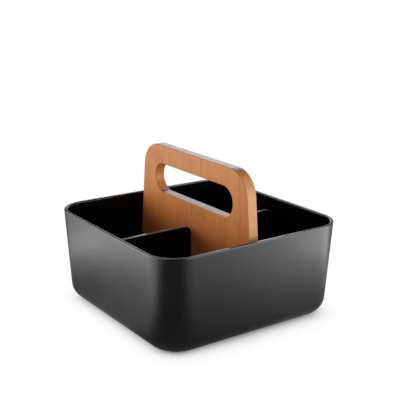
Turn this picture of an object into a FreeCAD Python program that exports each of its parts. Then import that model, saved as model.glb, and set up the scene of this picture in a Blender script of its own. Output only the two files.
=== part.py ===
import FreeCAD, Part
import math
import os

# Carrying caddy: a drafted square tray with four compartments, a bamboo board that stands
# across its middle as the handle, and two loose divider plates.
# Millimetres. +Z is up, the board runs along X, its wide faces look along -Y and +Y.
# The origin is on the table under the middle of the tray.

# ---- tray ----
TRAY_SIDE = 210.0            # outside, across the rim
TRAY_HEIGHT = 95.5           # underside to rim
WALL_LEAN = 4.6              # how far each wall comes in from the rim to the underside
TRAY_WALL = 3.4
TRAY_FLOOR = 3.0
CORNER_RADIUS = 30.0         # the upright outside corners
BASE_EDGE_RADIUS = 17.0      # the long rounding between wall and underside
RIM_EDGE_EASING = 0.7

# ---- moulded guides inside the tray ----
RIB_THICKNESS = 2.0
RIB_EMBED = 1.5              # how deep a rib's root runs into floor and wall
RIB_DRAFT_DEGREES = 0.5      # each face of a rib leans in by this, so that the mould opens
GUIDE_CORNER_RADIUS = 9.0    # inside corner where a rib turns from the floor up the wall
GUIDE_LEAD_RADIUS = 2.5      # rounding at the top of a rib
HANDLE_RIB_HEIGHT = 9.0      # above the floor
HANDLE_GUIDE_HEIGHT = 41.0   # above the floor, up the side walls
HANDLE_GUIDE_REACH = 8.0     # how far the rib stands off the side wall
DIVIDER_RIB_HEIGHT = 6.0
DIVIDER_GUIDE_HEIGHT = 43.0
DIVIDER_GUIDE_REACH = 6.5

# ---- handle board ----
HANDLE_THICKNESS = 11.0
HANDLE_RISE = 60.0           # rim up to the board's top edge
HANDLE_TAPER = 10.0          # how much shorter each end is at the top than at the foot
HANDLE_KNEE_HEIGHT = 50.0    # above the floor: below it the ends stand upright
HANDLE_KNEE_RADIUS = 80.0
HANDLE_TOP_RADIUS = 26.5
HANDLE_FOOT_RADIUS = 15.0
HANDLE_EDGE_EASING = 1.2
HANDLE_WALL_GAP = 1.6        # least gap between the board's end and the tray's wall
HANDLE_RIB_CLEARANCE = 0.15
GRIP_BAR = 19.0              # wood above the hand hole
GRIP_END = 19.4              # wood beyond the hand hole's ends, at the top edge
HAND_HOLE_HEIGHT = 30.0

# ---- dividers ----
DIVIDER_THICKNESS = 2.5
DIVIDER_DROP = 11.0          # rim down to the divider's top edge
DIVIDER_CORNER_RADIUS = 7.5
DIVIDER_WALL_GAP = 2.6
DIVIDER_HANDLE_GAP = 1.2
DIVIDER_SLOT_CLEARANCE = 0.3
DIVIDER_SEAT_CLEARANCE = 0.3
DIVIDER_EDGE_EASING = 0.4

# ---- screws and washers ----
SCREWS_PER_SIDE = 2
SCREW_END_INSET = 24.5       # outermost screw in from the end of the board's foot
SCREW_LENGTH = 30.0          # under the head
SCREW_RADIUS = 2.0
SCREW_POINT_LENGTH = 2.5
SCREW_HEAD_RADIUS = 4.0
SCREW_HEAD_HEIGHT = 2.6
SCREW_SLOT_WIDTH = 1.0
SCREW_SLOT_LENGTH = 4.6
SCREW_SLOT_DEPTH = 1.5
SCREW_RECESS_MARGIN = 0.4    # the head lies this far inside the underside
SCREW_HOLE_CLEARANCE = 0.3
PILOT_CLEARANCE = 0.05
PILOT_EXTRA_DEPTH = 1.5
WASHER_RADIUS = 5.0
WASHER_THICKNESS = 1.0
WASHER_BORE_CLEARANCE = 0.15
COUNTERBORE_CLEARANCE = 0.75
SCREW_WEB = 2.0              # plastic between the washer and the board
BOSS_WALL = 2.25             # plastic around the counterbore

# ---- feet ----
FOOT_RADIUS = 6.0
FOOT_PROUD = 1.0             # how far a foot stands out of the underside
FOOT_RECESS_DEPTH = 1.2
FOOT_RECESS_CLEARANCE = 0.15
FOOT_INSET = 14.0            # foot centre in from the edge of the flat underside

# ---- heights and half-widths that follow from the sizes above ----
COUNTERBORE_RADIUS = WASHER_RADIUS + COUNTERBORE_CLEARANCE
COUNTERBORE_DEPTH = SCREW_RECESS_MARGIN + SCREW_HEAD_HEIGHT + WASHER_THICKNESS
BOSS_RADIUS = COUNTERBORE_RADIUS + BOSS_WALL
UNDERSIDE = FOOT_PROUD
HEAD_BOTTOM = UNDERSIDE + SCREW_RECESS_MARGIN
HEAD_SEAT = HEAD_BOTTOM + SCREW_HEAD_HEIGHT
FLOOR_TOP = UNDERSIDE + TRAY_FLOOR
HANDLE_FOOT = UNDERSIDE + COUNTERBORE_DEPTH + SCREW_WEB
RIM = UNDERSIDE + TRAY_HEIGHT
HANDLE_TOP = RIM + HANDLE_RISE
HANDLE_KNEE = FLOOR_TOP + HANDLE_KNEE_HEIGHT
HOLLOW_EDGE_RADIUS = BASE_EDGE_RADIUS - TRAY_WALL
HANDLE_HALF = HANDLE_THICKNESS / 2
HANDLE_SLOT_HALF = HANDLE_HALF + HANDLE_RIB_CLEARANCE
DIVIDER_HALF = DIVIDER_THICKNESS / 2
DIVIDER_SLOT_HALF = DIVIDER_HALF + DIVIDER_SLOT_CLEARANCE
OVERCUT = 5.0

X_AXIS = FreeCAD.Vector(1, 0, 0)
Y_AXIS = FreeCAD.Vector(0, 1, 0)
Z_AXIS = FreeCAD.Vector(0, 0, 1)
ORIGIN = FreeCAD.Vector(0, 0, 0)
SAME_POINT = 1e-6
EASING_LIMIT = 0.45          # largest easing as a share of the wall that carries it


def outer_half(z):
    """Half the tray's outside width at a height: straight walls that lean out upwards."""
    return TRAY_SIDE / 2 - WALL_LEAN * (RIM - z) / TRAY_HEIGHT


def inner_half(z):
    """Half the tray's inside width at a height."""
    return outer_half(z) - TRAY_WALL


def on_xz(u, v):
    """Place an outline's point on the plane Y = 0."""
    return FreeCAD.Vector(u, 0, v)


def on_yz(u, v):
    """Place an outline's point on the plane X = 0."""
    return FreeCAD.Vector(0, u, v)


def corner_arc(before, corner, after, radius):
    """Start, middle and end of the arc that rounds a corner between two straight lines."""
    back = (before - corner).normalize()
    ahead = (after - corner).normalize()
    half_angle = back.getAngle(ahead) / 2
    reach = radius / math.tan(half_angle)
    bisector = (back + ahead).normalize()
    to_middle = radius / math.sin(half_angle) - radius
    return corner + back * reach, corner + bisector * to_middle, corner + ahead * reach


def rounded_wire(points, radii):
    """A closed wire through a polygon's points in order, each corner rounded by its radius."""
    arcs = []
    for index, (corner, radius) in enumerate(zip(points, radii)):
        following = points[(index + 1) % len(points)]
        if radius > 0:
            arcs.append(corner_arc(points[index - 1], corner, following, radius))
        else:
            arcs.append((corner, corner, corner))
    edges = []
    for index, (start, middle, end) in enumerate(arcs):
        last_end = arcs[index - 1][2]
        if last_end.distanceToPoint(start) > SAME_POINT:
            edges.append(Part.LineSegment(last_end, start).toShape())
        if radii[index] > 0:
            edges.append(Part.Arc(start, middle, end).toShape())
    return Part.Wire(edges)


def rounded_face(corners, place):
    """A flat face whose outline is a polygon of (u, v, radius) corners, each one rounded."""
    points = [place(u, v) for u, v, radius in corners]
    radii = [radius for u, v, radius in corners]
    return Part.Face(rounded_wire(points, radii))


def edges_at(shape, z):
    """The edges of a shape that lie flat at a height."""
    return [edge for edge in shape.Edges
            if all(abs(vertex.Z - z) < SAME_POINT for vertex in edge.Vertexes)]


def eased(solid, easing, wall, edges):
    """Chamfer the two edges of a wall's end by an easing, kept below half of the wall."""
    return solid.makeChamfer(min(easing, EASING_LIMIT * wall), edges)


def cylinder(radius, bottom, top, x=0.0, y=0.0):
    """An upright cylinder between two heights."""
    return Part.makeCylinder(radius, top - bottom, FreeCAD.Vector(x, y, bottom), Z_AXIS)


def leaning_block(inset, bottom, top, edge_radius):
    """A solid square that widens upwards with the tray's walls, set in from their outside.

    Its upright corners and its lower edge are rounded.
    """
    low = outer_half(bottom) - inset
    high = outer_half(top) - inset
    block = Part.makeWedge(-low, 0, -low, -high, -high, low, top - bottom, low, high, high)
    block.rotate(ORIGIN, X_AXIS, 90)
    block.translate(FreeCAD.Vector(0, 0, bottom))
    uprights = [edge for edge in block.Edges if edge.BoundBox.ZLength > SAME_POINT]
    block = block.makeFillet(CORNER_RADIUS - inset, uprights)
    return block.makeFillet(edge_radius, edges_at(block, bottom))


def tray_shell():
    """The tray's walls and floor, with the rim's edges eased."""
    outside = leaning_block(0, UNDERSIDE, RIM, BASE_EDGE_RADIUS)
    hollow = leaning_block(TRAY_WALL, FLOOR_TOP, RIM + OVERCUT, HOLLOW_EDGE_RADIUS)
    shell = outside.cut(hollow)
    return eased(shell, RIM_EDGE_EASING, TRAY_WALL, edges_at(shell, RIM))


def draft(z):
    """How far a rib's face has leaned in at a height above the tray's floor."""
    return (z - FLOOR_TOP) * math.tan(math.radians(RIB_DRAFT_DEGREES))


def guide_rib(start, height, reach, guide_height, slot_half):
    """An L-shaped rib beside a slot that runs out along +X, on the slot's +Y side.

    Its root follows the floor, the rounding and the leaning wall, a little inside them. It runs
    out on the floor and turns up the wall, and it gets thinner upwards.
    """
    root = FLOOR_TOP - RIB_EMBED
    crest = FLOOR_TOP + height
    guide_top = FLOOR_TOP + guide_height
    side_view = rounded_face([
        (start, root, 0),
        (inner_half(root) + RIB_EMBED, root, HOLLOW_EDGE_RADIUS + RIB_EMBED),
        (inner_half(guide_top) + RIB_EMBED, guide_top, 0),
        (inner_half(guide_top) - reach, guide_top, GUIDE_LEAD_RADIUS),
        (inner_half(crest) - reach, crest, GUIDE_CORNER_RADIUS),
        (start, crest, 0),
    ], on_xz)
    far_side = slot_half + RIB_THICKNESS
    end_view = rounded_face([
        (slot_half + draft(root), root, 0),
        (far_side - draft(root), root, 0),
        (far_side - draft(guide_top), guide_top, 0),
        (slot_half + draft(guide_top), guide_top, 0),
    ], on_yz)
    plate = side_view.extrude(FreeCAD.Vector(0, far_side + RIB_THICKNESS, 0))
    return plate.common(end_view.extrude(FreeCAD.Vector(TRAY_SIDE, 0, 0)))


def guide_pair(start, height, reach, guide_height, slot_half, angle):
    """Two ribs that face each other across a slot, turned about the middle of the tray."""
    rib = guide_rib(start, height, reach, guide_height, slot_half)
    pair = [rib, rib.mirror(ORIGIN, Y_AXIS)]
    for side in pair:
        side.rotate(ORIGIN, Z_AXIS, angle)
    return pair


def tray_guides():
    """The ribs that hold the board upright and the ones that the dividers slide down between."""
    divider_start = HANDLE_SLOT_HALF + RIB_THICKNESS / 2
    ribs = []
    for angle in (0, 180):
        ribs += guide_pair(DIVIDER_SLOT_HALF, HANDLE_RIB_HEIGHT, HANDLE_GUIDE_REACH,
                           HANDLE_GUIDE_HEIGHT, HANDLE_SLOT_HALF, angle)
    for angle in (90, 270):
        ribs += guide_pair(divider_start, DIVIDER_RIB_HEIGHT, DIVIDER_GUIDE_REACH,
                           DIVIDER_GUIDE_HEIGHT, DIVIDER_SLOT_HALF, angle)
    return ribs


def screw_places():
    """X of each screw: an even row along the board's foot, as many left as right of the middle."""
    outermost = handle_foot_half() - SCREW_END_INSET
    gaps = 2 * SCREWS_PER_SIDE - 1
    return [outermost * (2 * index / gaps - 1) for index in range(2 * SCREWS_PER_SIDE)]


def foot_places():
    """X and Y of each foot, near the corners of the flat underside."""
    out = outer_half(UNDERSIDE) - BASE_EDGE_RADIUS - FOOT_INSET
    return {
        "front_left": (-out, -out),
        "front_right": (out, -out),
        "back_left": (-out, out),
        "back_right": (out, out),
    }


def tray():
    """The moulded tray: shell, guides, screw bosses, and the recesses in its underside."""
    bosses = [cylinder(BOSS_RADIUS, FLOOR_TOP - RIB_EMBED, HANDLE_FOOT, x) for x in screw_places()]
    body = tray_shell().fuse(tray_guides() + bosses)
    cuts = []
    for x in screw_places():
        cuts.append(cylinder(COUNTERBORE_RADIUS, 0, UNDERSIDE + COUNTERBORE_DEPTH, x))
        cuts.append(cylinder(SCREW_RADIUS + SCREW_HOLE_CLEARANCE, 0, HANDLE_FOOT + OVERCUT, x))
    for x, y in foot_places().values():
        cuts.append(cylinder(FOOT_RADIUS + FOOT_RECESS_CLEARANCE, 0,
                             UNDERSIDE + FOOT_RECESS_DEPTH, x, y))
    return body.cut(cuts).removeSplitter()


def handle_end(z):
    """Half the board's length at a height, on the straight leaning part of its ends."""
    foot_half = handle_foot_half()
    return foot_half - HANDLE_TAPER * (z - HANDLE_KNEE) / (HANDLE_TOP - HANDLE_KNEE)


def handle_foot_half():
    """Half the board's length at its foot, where the tray's wall comes nearest to it."""
    return inner_half(HANDLE_FOOT + HANDLE_FOOT_RADIUS) - HANDLE_WALL_GAP


def handle_board():
    """The bamboo board: leaning ends, rounded corners, a hand hole and eased edges."""
    foot_half = handle_foot_half()
    top_half = handle_end(HANDLE_TOP)
    right = [
        (foot_half, HANDLE_FOOT, HANDLE_FOOT_RADIUS),
        (foot_half, HANDLE_KNEE, HANDLE_KNEE_RADIUS),
        (top_half, HANDLE_TOP, HANDLE_TOP_RADIUS),
    ]
    left = [(-x, z, radius) for x, z, radius in reversed(right)]
    board = rounded_face(right + left, on_xz)
    hole_top = HANDLE_TOP - GRIP_BAR
    hole_half = top_half - GRIP_END
    hole = rounded_face([
        (hole_half, hole_top - HAND_HOLE_HEIGHT, HAND_HOLE_HEIGHT / 2),
        (hole_half, hole_top, HAND_HOLE_HEIGHT / 2),
        (-hole_half, hole_top, HAND_HOLE_HEIGHT / 2),
        (-hole_half, hole_top - HAND_HOLE_HEIGHT, HAND_HOLE_HEIGHT / 2),
    ], on_xz)
    outline = board.cut(hole)
    outline.translate(FreeCAD.Vector(0, -HANDLE_HALF, 0))
    solid = outline.extrude(FreeCAD.Vector(0, HANDLE_THICKNESS, 0))
    rims = [edge for edge in solid.Edges if edge.BoundBox.YLength < SAME_POINT]
    solid = eased(solid, HANDLE_EDGE_EASING, HANDLE_THICKNESS, rims)
    pilot_top = HEAD_SEAT + SCREW_LENGTH + PILOT_EXTRA_DEPTH
    pilots = [cylinder(SCREW_RADIUS + PILOT_CLEARANCE, 0, pilot_top, x) for x in screw_places()]
    return solid.cut(pilots)


def divider(side):
    """A loose plate across half the tray; side is -1 for the front one and 1 for the back one."""
    bottom = FLOOR_TOP + DIVIDER_SEAT_CLEARANCE
    top = RIM - DIVIDER_DROP
    near = HANDLE_HALF + DIVIDER_HANDLE_GAP
    outline = [
        (near, bottom, 0),
        (inner_half(bottom) - DIVIDER_WALL_GAP, bottom, HOLLOW_EDGE_RADIUS + DIVIDER_WALL_GAP),
        (inner_half(top) - DIVIDER_WALL_GAP, top, DIVIDER_CORNER_RADIUS),
        (near, top, DIVIDER_CORNER_RADIUS),
    ]
    face = rounded_face([(side * y, z, radius) for y, z, radius in outline], on_yz)
    face.translate(FreeCAD.Vector(-DIVIDER_HALF, 0, 0))
    plate = face.extrude(FreeCAD.Vector(DIVIDER_THICKNESS, 0, 0))
    rims = [edge for edge in plate.Edges if edge.BoundBox.XLength < SAME_POINT]
    return eased(plate, DIVIDER_EDGE_EASING, DIVIDER_THICKNESS, rims)


def turned(outline):
    """A solid of revolution about the Z axis, from an outline of (radius, z)."""
    points = [on_xz(radius, z) for radius, z in outline]
    return Part.Face(Part.makePolygon(points + points[:1])).revolve(ORIGIN, Z_AXIS, 360)


def screw(x):
    """A round-headed wood screw, driven upwards, with a cross recess in its head."""
    tip = HEAD_SEAT + SCREW_LENGTH
    body = turned([
        (0, HEAD_BOTTOM),
        (SCREW_HEAD_RADIUS, HEAD_BOTTOM),
        (SCREW_HEAD_RADIUS, HEAD_SEAT),
        (SCREW_RADIUS, HEAD_SEAT),
        (SCREW_RADIUS, tip - SCREW_POINT_LENGTH),
        (0, tip),
    ])
    body.translate(FreeCAD.Vector(x, 0, 0))
    slot = Part.makeBox(SCREW_SLOT_LENGTH, SCREW_SLOT_WIDTH, SCREW_SLOT_DEPTH)
    slot.translate(FreeCAD.Vector(-SCREW_SLOT_LENGTH / 2, -SCREW_SLOT_WIDTH / 2, HEAD_BOTTOM))
    crossing = slot.copy()
    crossing.rotate(ORIGIN, Z_AXIS, 90)
    recess = slot.fuse(crossing)
    recess.translate(FreeCAD.Vector(x, 0, 0))
    return body.cut(recess)


def washer(x):
    """A flat washer between a screw's head and the tray."""
    top = HEAD_SEAT + WASHER_THICKNESS
    bore = cylinder(SCREW_RADIUS + WASHER_BORE_CLEARANCE, HEAD_SEAT, top, x)
    return cylinder(WASHER_RADIUS, HEAD_SEAT, top, x).cut(bore)


def foot(x, y):
    """A soft round foot that fills its recess and stands out of it."""
    return cylinder(FOOT_RADIUS, 0, UNDERSIDE + FOOT_RECESS_DEPTH, x, y)


def build():
    """Every piece of the caddy by its name."""
    pieces = {
        "tray": tray(),
        "handle_board": handle_board(),
        "divider_front": divider(-1),
        "divider_back": divider(1),
    }
    for number, x in enumerate(screw_places(), start=1):
        pieces[f"handle_screw_{number}"] = screw(x)
        pieces[f"screw_washer_{number}"] = washer(x)
    for place, (x, y) in foot_places().items():
        pieces[f"foot_{place}"] = foot(x, y)
    return pieces


os.makedirs("parts", exist_ok=True)
for name, shape in build().items():
    shape.exportStep(f"parts/{name}.step")
    box = shape.optimalBoundingBox()
    print(f"{name:16s} valid {shape.isValid()} solids {len(shape.Solids)} "
          f"volume {shape.Volume:10.1f} z {box.ZMin:7.2f} to {box.ZMax:7.2f}")
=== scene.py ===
"""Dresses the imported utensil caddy: a moulded tray, a bamboo handle board and loose dividers.

Sizes in the classes are millimetres, as on a maker's drawing. Meshes are in metres, in the frame
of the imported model: +Z up, the board along X, the front at -Y, the table at Z = 0.
"""

import logging
import math
from dataclasses import dataclass
from enum import Enum, IntEnum
from typing import Callable, Optional, Sequence, Union

import bmesh
import bpy
import numpy as np
from mathutils import Matrix, Vector
from mathutils.geometry import delaunay_2d_cdt

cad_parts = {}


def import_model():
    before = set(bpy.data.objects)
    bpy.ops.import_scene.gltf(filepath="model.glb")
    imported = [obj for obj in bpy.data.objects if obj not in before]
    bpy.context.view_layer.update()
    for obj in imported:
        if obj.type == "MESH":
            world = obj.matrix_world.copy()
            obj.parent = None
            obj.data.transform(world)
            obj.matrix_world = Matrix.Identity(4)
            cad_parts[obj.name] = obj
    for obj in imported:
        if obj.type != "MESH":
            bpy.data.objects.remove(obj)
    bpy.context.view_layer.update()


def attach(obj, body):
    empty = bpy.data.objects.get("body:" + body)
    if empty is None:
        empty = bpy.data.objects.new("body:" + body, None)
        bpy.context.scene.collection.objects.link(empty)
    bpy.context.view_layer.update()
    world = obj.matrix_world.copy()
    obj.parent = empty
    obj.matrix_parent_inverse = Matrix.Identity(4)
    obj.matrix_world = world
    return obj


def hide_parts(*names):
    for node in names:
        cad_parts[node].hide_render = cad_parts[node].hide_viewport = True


LOG = logging.getLogger("caddy")
MM = 0.001
SCREW_XS = (-71.91, -23.97, 23.97, 71.91)  # the row of screws under the board
FOOT_OUT = 69.4                            # how far each foot stands out along X and Y
CAMERA_SIDE = (0.8185, -0.5745)            # the level way from the caddy to the camera
WHITE = (1.0, 1.0, 1.0, 1.0)
Array = np.ndarray
Placing = Callable[[Array, Array, Array], Array]
Value = Union[float, tuple, "Term"]


class Body(Enum):
    """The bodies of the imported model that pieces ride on."""

    CADDY = "caddy"
    FRONT_DIVIDER = "front_divider"
    BACK_DIVIDER = "back_divider"


class Slot(Enum):
    """The record's material slots."""

    TRAY = "tray_plastic"
    DIVIDER = "divider_plastic"
    BAMBOO = "bamboo"
    STEEL = "screw_steel"
    RUBBER = "foot_rubber"


class Side(Enum):
    """The two sides of the board, as the sign of Y."""

    FRONT = -1
    BACK = 1


class Coat(IntEnum):
    """Which of its finishes a part of a piece takes, by their place in its list."""

    MAIN = 0
    SECOND = 1


# Shapes


def on_xz(u: Array, v: Array, w: Array) -> Array:
    """Place a plate upright along X: u runs along +X, v up, and w through it along +Y."""
    return np.stack(np.broadcast_arrays(u, w, v), axis=-1)


def on_yz(u: Array, v: Array, w: Array) -> Array:
    """Place a plate upright along Y: u runs along +Y, v up, and w through it along +X."""
    return np.stack(np.broadcast_arrays(w, u, v), axis=-1)


def on_xy(u: Array, v: Array, w: Array) -> Array:
    """Place a plate flat: u runs along +X, v along +Y, and w up."""
    return np.stack(np.broadcast_arrays(u, v, w), axis=-1)


def arc(centre: tuple, radius: float, start: float, end: float, steps: int) -> Array:
    """Points of a circular arc: centre + radius * (cos t, sin t) for t from start to end.

    Args:
        centre: The arc's centre, in the plane of the profile.
        radius: Its radius.
        start: The first angle in degrees.
        end: The last angle in degrees.
        steps: How many equal steps lie between them.

    Returns:
        An array of steps + 1 points.
    """
    angle = np.radians(np.linspace(start, end, steps + 1))
    return np.stack([centre[0] + radius * np.cos(angle), centre[1] + radius * np.sin(angle)], axis=1)


def circle(x: float, y: float, radius: float, steps: int) -> Array:
    """The points of a circle in a plane, anticlockwise, without a repeated last point."""
    return arc((x, y), radius, 0, 360, steps)[:-1]


def inside(points: Array, loop: Array) -> Array:
    """Which points lie inside a closed loop, by counting the loop's crossings of a ray along +u.

    Args:
        points: An array of (n, 2).
        loop: The loop's corners, (m, 2).

    Returns:
        A boolean array of n.
    """
    ahead = np.roll(loop, -1, axis=0)
    rise = ahead[:, 1] - loop[:, 1]
    spans = (loop[:, 1] > points[:, 1:]) != (ahead[:, 1] > points[:, 1:])
    share = (points[:, 1:] - loop[:, 1]) / np.where(rise == 0, 1, rise)
    crosses = points[:, :1] < loop[:, 0] + share * (ahead[:, 0] - loop[:, 0])
    return np.logical_and(spans, crosses).sum(axis=1) % 2 == 1


class Outline:
    """A closed polygon with rounded corners that can be drawn at any inset.

    Each corner turns from one edge's outward normal a to the next one's b. With
    m = (a + b) / (1 + a.b), the rounding of radius r at inset d is
    corner - m * max(r, d) + n * max(r - d, 0) where the corner is convex, and
    corner + m * r - n * (r + d) where it is hollow, with n swinging from a to b.
    """

    def __init__(self, corners: Sequence[tuple], step: float, lead: float) -> None:
        """Work out every point of the outline at inset 0.

        Args:
            corners: (u, v, radius) of each corner, anticlockwise, in millimetres.
            step: The largest turn between two points, in degrees.
            lead: How far along each straight a point stands beside a rounding.
        """
        places = np.array([corner[:2] for corner in corners], float)
        radii = np.array([corner[2] for corner in corners], float)
        before = places - np.roll(places, 1, axis=0)
        before /= np.linalg.norm(before, axis=1, keepdims=True)
        after = np.roll(before, -1, axis=0)
        rows = [self._corner(*data, step, lead) for data in zip(places, radii, before, after)]
        self.corner, self.mitre, self.normal, self.slide, self.radius, self.convex = (
            np.concatenate(column) for column in zip(*rows))

    @staticmethod
    def _corner(place: Array, radius: float, before: Array, after: Array,
                step: float, lead: float) -> tuple:
        """Work out one rounded corner, with a lead point beside each of its ends.

        Args:
            place: The sharp corner.
            radius: Its rounding.
            before: The direction of the edge that comes in.
            after: The direction of the edge that goes out.
            step: The largest turn between two points, in degrees.
            lead: How far along each straight the lead points stand.

        Returns:
            Arrays of the corner, mitre, normal, slide, radius and whether it is convex.
        """
        turn = math.atan2(before[0] * after[1] - before[1] * after[0], float(before @ after))
        steps = max(2, math.ceil(abs(math.degrees(turn)) / step))
        first = math.atan2(-before[0], before[1])
        angle = first + turn * np.clip(np.arange(-1, steps + 2) / steps, 0, 1)
        normal = np.stack([np.cos(angle), np.sin(angle)], axis=1)
        mitre = (normal[0] + normal[-1]) / (1 + normal[0] @ normal[-1])
        slide = np.zeros_like(normal)
        slide[0] = -before * lead
        slide[-1] = after * lead
        count = len(angle)
        return (np.tile(place, (count, 1)), np.tile(mitre, (count, 1)), normal, slide,
                np.full(count, radius), np.full(count, turn > 0))

    def inset(self, depths: Array) -> Array:
        """The outline drawn at each of some distances inside itself.

        Args:
            depths: The distances in millimetres.

        Returns:
            Points of (distances, n, 2).
        """
        depth = depths[:, None]
        reach = np.where(self.convex, -np.maximum(self.radius, depth), self.radius)
        swing = np.where(self.convex, np.maximum(self.radius - depth, 0), -(self.radius + depth))
        return (self.corner + self.slide + self.mitre * reach[..., None]
                + self.normal * swing[..., None])


def show(name: str, data: bpy.types.ID) -> bpy.types.Object:
    """Put a mesh, lamp or camera into the scene.

    Args:
        name: The new object's name.
        data: What it shows.

    Returns:
        The new object, at the origin.
    """
    thing = bpy.data.objects.new(name, data)
    bpy.context.scene.collection.objects.link(thing)
    return thing


class Skin:
    """Gathers the surfaces of one piece and makes them a closed mesh."""

    MERGED = 2e-7                # metres: points nearer than this become one
    SLIVER = 1e-8                # metres: edges shorter than this go
    SAME_CORNER = 1e-7           # millimetres: corners nearer than this are one
    WHOLE_HULL = 0               # how Blender numbers a filling that keeps every triangle
    SHARP = math.radians(35.0)   # an edge that turns by more than this stays crisp

    def __init__(self) -> None:
        """Start with no surface."""
        self.points: list = []
        self.faces: list = []
        self.coats: list = []
        self.count = 0
        self.coat = Coat.MAIN

    def add(self, points: Array, faces: Array) -> None:
        """Add a patch, which takes the finish that stands in self.coat.

        Args:
            points: Any array of points whose last axis is X, Y and Z, in millimetres.
            faces: Rows of indices into them.
        """
        self.points.append(points.reshape(-1, 3))
        self.faces.append(faces + self.count)
        self.coats.append(np.full(len(faces), self.coat, np.int32))
        self.count += self.points[-1].shape[0]

    def grid(self, points: Array) -> None:
        """Add a surface from a grid of points, whose last column joins its first one.

        Args:
            points: (rows, columns, 3) in millimetres.
        """
        rows, columns = points.shape[:2]
        index = np.arange(rows * columns).reshape(rows, columns)
        ahead = np.roll(index, -1, axis=1)
        quads = np.stack([index[:-1], ahead[:-1], ahead[1:], index[1:]], axis=-1)
        self.add(points, quads.reshape(-1, 4))

    def flat(self, loops: Sequence[Array], place: Placing, height: float) -> None:
        """Fill the flat region inside the first loop and outside the others.

        Args:
            loops: Closed loops of (n, 2) points in millimetres.
            place: Turns the plane's u and v and a height into X, Y and Z.
            height: Where the plane lies.
        """
        start = 0
        edges = []
        for loop in loops:
            index = start + np.arange(len(loop))
            edges.append(np.stack([index, np.roll(index, -1)], axis=1))
            start += len(loop)
        corners = list(map(Vector, np.concatenate(loops).tolist()))
        found = delaunay_2d_cdt(corners, np.concatenate(edges).tolist(), [], self.WHOLE_HULL,
                                self.SAME_CORNER)
        points, faces = np.array(found[0]), np.array(found[2])
        middles = points[faces].mean(axis=1)
        keep = inside(middles, loops[0])
        for hole in loops[1:]:
            keep &= ~inside(middles, hole)
        self.add(place(points[:, 0], points[:, 1], np.full(len(points), height)), faces[keep])

    def piece(self, name: str) -> bpy.types.Object:
        """Make the gathered surfaces one object, with seams merged and faces turned outwards.

        Args:
            name: The object's name.

        Returns:
            The new object, at the origin, with its place in its mesh.
        """
        mesh = bpy.data.meshes.new(name)
        faces = [face for patch in self.faces for face in patch.tolist()]
        mesh.from_pydata((np.concatenate(self.points) * MM).tolist(), [], faces)
        mesh.polygons.foreach_set("material_index", np.concatenate(self.coats))
        work = bmesh.new()
        work.from_mesh(mesh)
        bmesh.ops.remove_doubles(work, verts=work.verts, dist=self.MERGED)
        bmesh.ops.dissolve_degenerate(work, edges=work.edges, dist=self.SLIVER)
        bmesh.ops.recalc_face_normals(work, faces=work.faces)
        work.to_mesh(mesh)
        work.free()
        mesh.shade_smooth()
        mesh.set_sharp_from_angle(angle=self.SHARP)
        return show(name, mesh)


def edge_profile(thickness: float, rounding: float, support: float, steps: int) -> Array:
    """The section of a plate's edge, from its front face round to its back face.

    It is flat to the rounding, then a quarter circle, a straight side and a quarter circle:
    inset = r (1 - sin t), depth = r (1 - cos t) - thickness / 2.

    Args:
        thickness: The plate's thickness in millimetres.
        rounding: The radius of its edges.
        support: How far a holding row stands from each end of a rounding.
        steps: The steps in each quarter circle.

    Returns:
        Rows of (inset, depth).
    """
    half = thickness / 2
    t = np.linspace(0, math.pi / 2, steps + 1)
    turn = np.stack([rounding * (1 - np.sin(t)), rounding * (1 - np.cos(t)) - half], axis=1)
    front = np.concatenate([
        [(rounding + support, -half)], turn, [(0, rounding + support - half)]])
    return np.concatenate([front, front[::-1] * (1, -1)])


def add_plate(skin: Skin, outline: Outline, thickness: float, rounding: float, place: Placing,
              support: float, steps: int, holes: Sequence[Outline] = (),
              edge_coat: Coat = Coat.MAIN, face_coat: Coat = Coat.MAIN) -> None:
    """Add a plate with rounded edges: its edge's section carried round its outline and holes.

    Args:
        skin: Where the surfaces go.
        outline: The plate's outline.
        thickness: Its thickness in millimetres.
        rounding: The radius of its edges.
        place: Turns u, v and depth into X, Y and Z.
        support: How far the holding rows stand from the roundings.
        steps: The steps in each rounding.
        holes: Outlines of through holes, each anticlockwise about its own middle.
        edge_coat: Which of its finishes the edges take.
        face_coat: Which one the two faces take.
    """
    inset, depth = edge_profile(thickness, rounding, support, steps).T
    sides = [outline.inset(inset)] + [hole.inset(-inset) for hole in holes]
    skin.coat = edge_coat
    for rows in sides:
        skin.grid(place(rows[..., 0], rows[..., 1], depth[:, None]))
    skin.coat = face_coat
    for end in (0, -1):
        skin.flat([rows[end] for rows in sides], place, depth[end])


def add_turned(skin: Skin, profile: Array, x: float, y: float, steps: int) -> None:
    """Add a surface of revolution about an upright line: (x + r cos t, y + r sin t, z).

    Args:
        skin: Where the surface goes.
        profile: Rows of (r, z) in millimetres.
        x: The line's X.
        y: The line's Y.
        steps: The steps round the circle.
    """
    t = np.linspace(0, 2 * math.pi, steps, endpoint=False)
    r, z = profile[:, :1], profile[:, 1:]
    skin.grid(on_xy(x + r * np.cos(t), y + r * np.sin(t), z))


def dress(thing: bpy.types.Object, materials: Sequence[bpy.types.Material],
          body: Body, nodes: Sequence[str]) -> None:
    """Give a piece its materials and say what it is.

    Args:
        thing: The piece.
        materials: Its finishes, in the order of Coat.
        body: The body that it rides on.
        nodes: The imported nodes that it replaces.
    """
    for material in materials:
        thing.data.materials.append(material)
    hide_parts(*nodes)
    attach(thing, body.value)
    LOG.info("%s: %d faces, %s, rides on %s", thing.name, len(thing.data.polygons),
             materials[0].name, body.value)


# Finishes


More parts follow.
